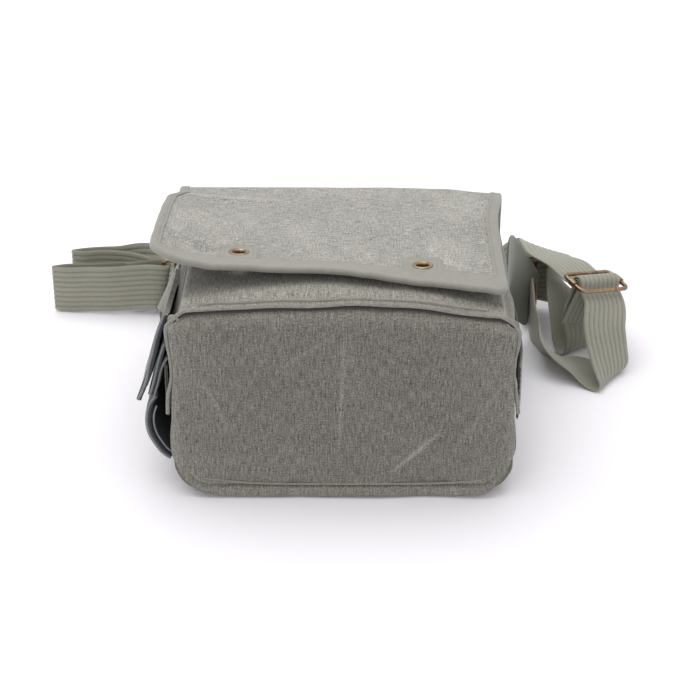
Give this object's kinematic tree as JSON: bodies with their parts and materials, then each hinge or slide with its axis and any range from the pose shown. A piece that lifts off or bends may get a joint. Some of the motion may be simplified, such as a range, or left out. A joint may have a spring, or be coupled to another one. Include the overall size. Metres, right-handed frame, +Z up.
{
  "type": "camera bag",
  "caption": "Small padded canvas camera bag with a fold-over lid, front and side pockets, movable dividers and a webbing shoulder strap.",
  "frame": {"origin": "middle of the back panel's outer face, on the ground it lies on", "axes": "+X across the bag to its right, +Y from its base to its mouth, +Z up from its back to its front"},
  "size_m": [0.4293, 0.3069, 0.1531],
  "materials": {
    "canvas": "washed cotton canvas",
    "flap_canvas": "washed cotton canvas, lighter",
    "lining": "dark brushed lining over foam",
    "binding": "smooth twill tape",
    "webbing": "ribbed cotton webbing",
    "brass": "aged brass wire"
  },
  "bodies": {
    "case": {"bottom_panel": "canvas", "back_panel": "canvas", "side_panel_left": "canvas", "side_panel_right": "canvas", "front_panel": "canvas", "front_pocket": "canvas", "base_piping_front": "canvas", "base_piping_back": "canvas", "pad_back": "lining", "pad_front": "lining", "pad_left": "lining", "pad_right": "lining", "pad_bottom": "lining", "side_pocket": "canvas", "side_pocket_lip": "canvas", "side_webbing_left": "webbing", "side_webbing_right": "webbing", "strap_left_outer": "webbing", "strap_left_middle": "webbing", "strap_left_inner": "webbing", "strap_left_twist": "webbing", "strap_back": "webbing", "strap_rise": "webbing", "strap_front_loop": "webbing", "strap_inner_loop": "webbing"},
    "lid_top": {"lid_top": "flap_canvas", "lid_lining_top": "lining", "lid_binding_top": "binding"},
    "lid_front": {"lid_front": "flap_canvas", "lid_lining_front": "lining", "lid_binding_front": "binding", "eyelet_patches": "flap_canvas", "eyelet_left": "brass", "eyelet_right": "brass"},
    "side_flap": {"side_pocket_flap": "canvas"},
    "ring_left": {"ring_left": "brass"},
    "ring_right": {"ring_right": "brass"},
    "slider": {"slider_frame": "brass", "slider_bar": "brass"},
    "divider_left": {"divider_left": "lining", "divider_tapes_left": "lining"},
    "divider_right": {"divider_right": "lining", "divider_tapes_right": "lining"}
  },
  "joints": [
    {"name": "lid_hinge", "type": "hinge", "parent": "case", "child": "lid_top", "pos_m": [0, 0.0983, 0.003], "axis": [-1, 0, 0], "range_deg": [0, 90]},
    {"name": "lid_fold", "type": "hinge", "parent": "lid_top", "child": "lid_front", "pos_m": [0, 0.0983, 0.135], "axis": [-1, 0, 0], "range_deg": [0, 75]},
    {"name": "side_flap_hinge", "type": "hinge", "parent": "case", "child": "side_flap", "pos_m": [-0.1124, -0.088, 0.114], "axis": [0, 0.9986, -0.0526], "range_deg": [0, 100]},
    {"name": "ring_left_swing", "type": "hinge", "parent": "case", "child": "ring_left", "pos_m": [-0.12911, 0.143, 0.0224], "axis": [0.2, 0, 0.9798], "range_deg": [-10, 10]},
    {"name": "ring_right_swing", "type": "hinge", "parent": "case", "child": "ring_right", "pos_m": [0.1345, 0.142, 0.026], "axis": [0, -0.0797, 0.9968], "range_deg": [-10, 10]},
    {"name": "slider_tilt", "type": "hinge", "parent": "case", "child": "slider", "pos_m": [0.182, 0.081, 0.061], "axis": [0.8163, 0.5311, -0.2272], "range_deg": [-10, 10]},
    {"name": "divider_left_slide", "type": "slide", "parent": "case", "child": "divider_left", "axis": [1, 0, 0], "range_m": [-0.015, 0.015]},
    {"name": "divider_right_slide", "type": "slide", "parent": "case", "child": "divider_right", "axis": [1, 0, 0], "range_m": [-0.015, 0.015]}
  ]
}
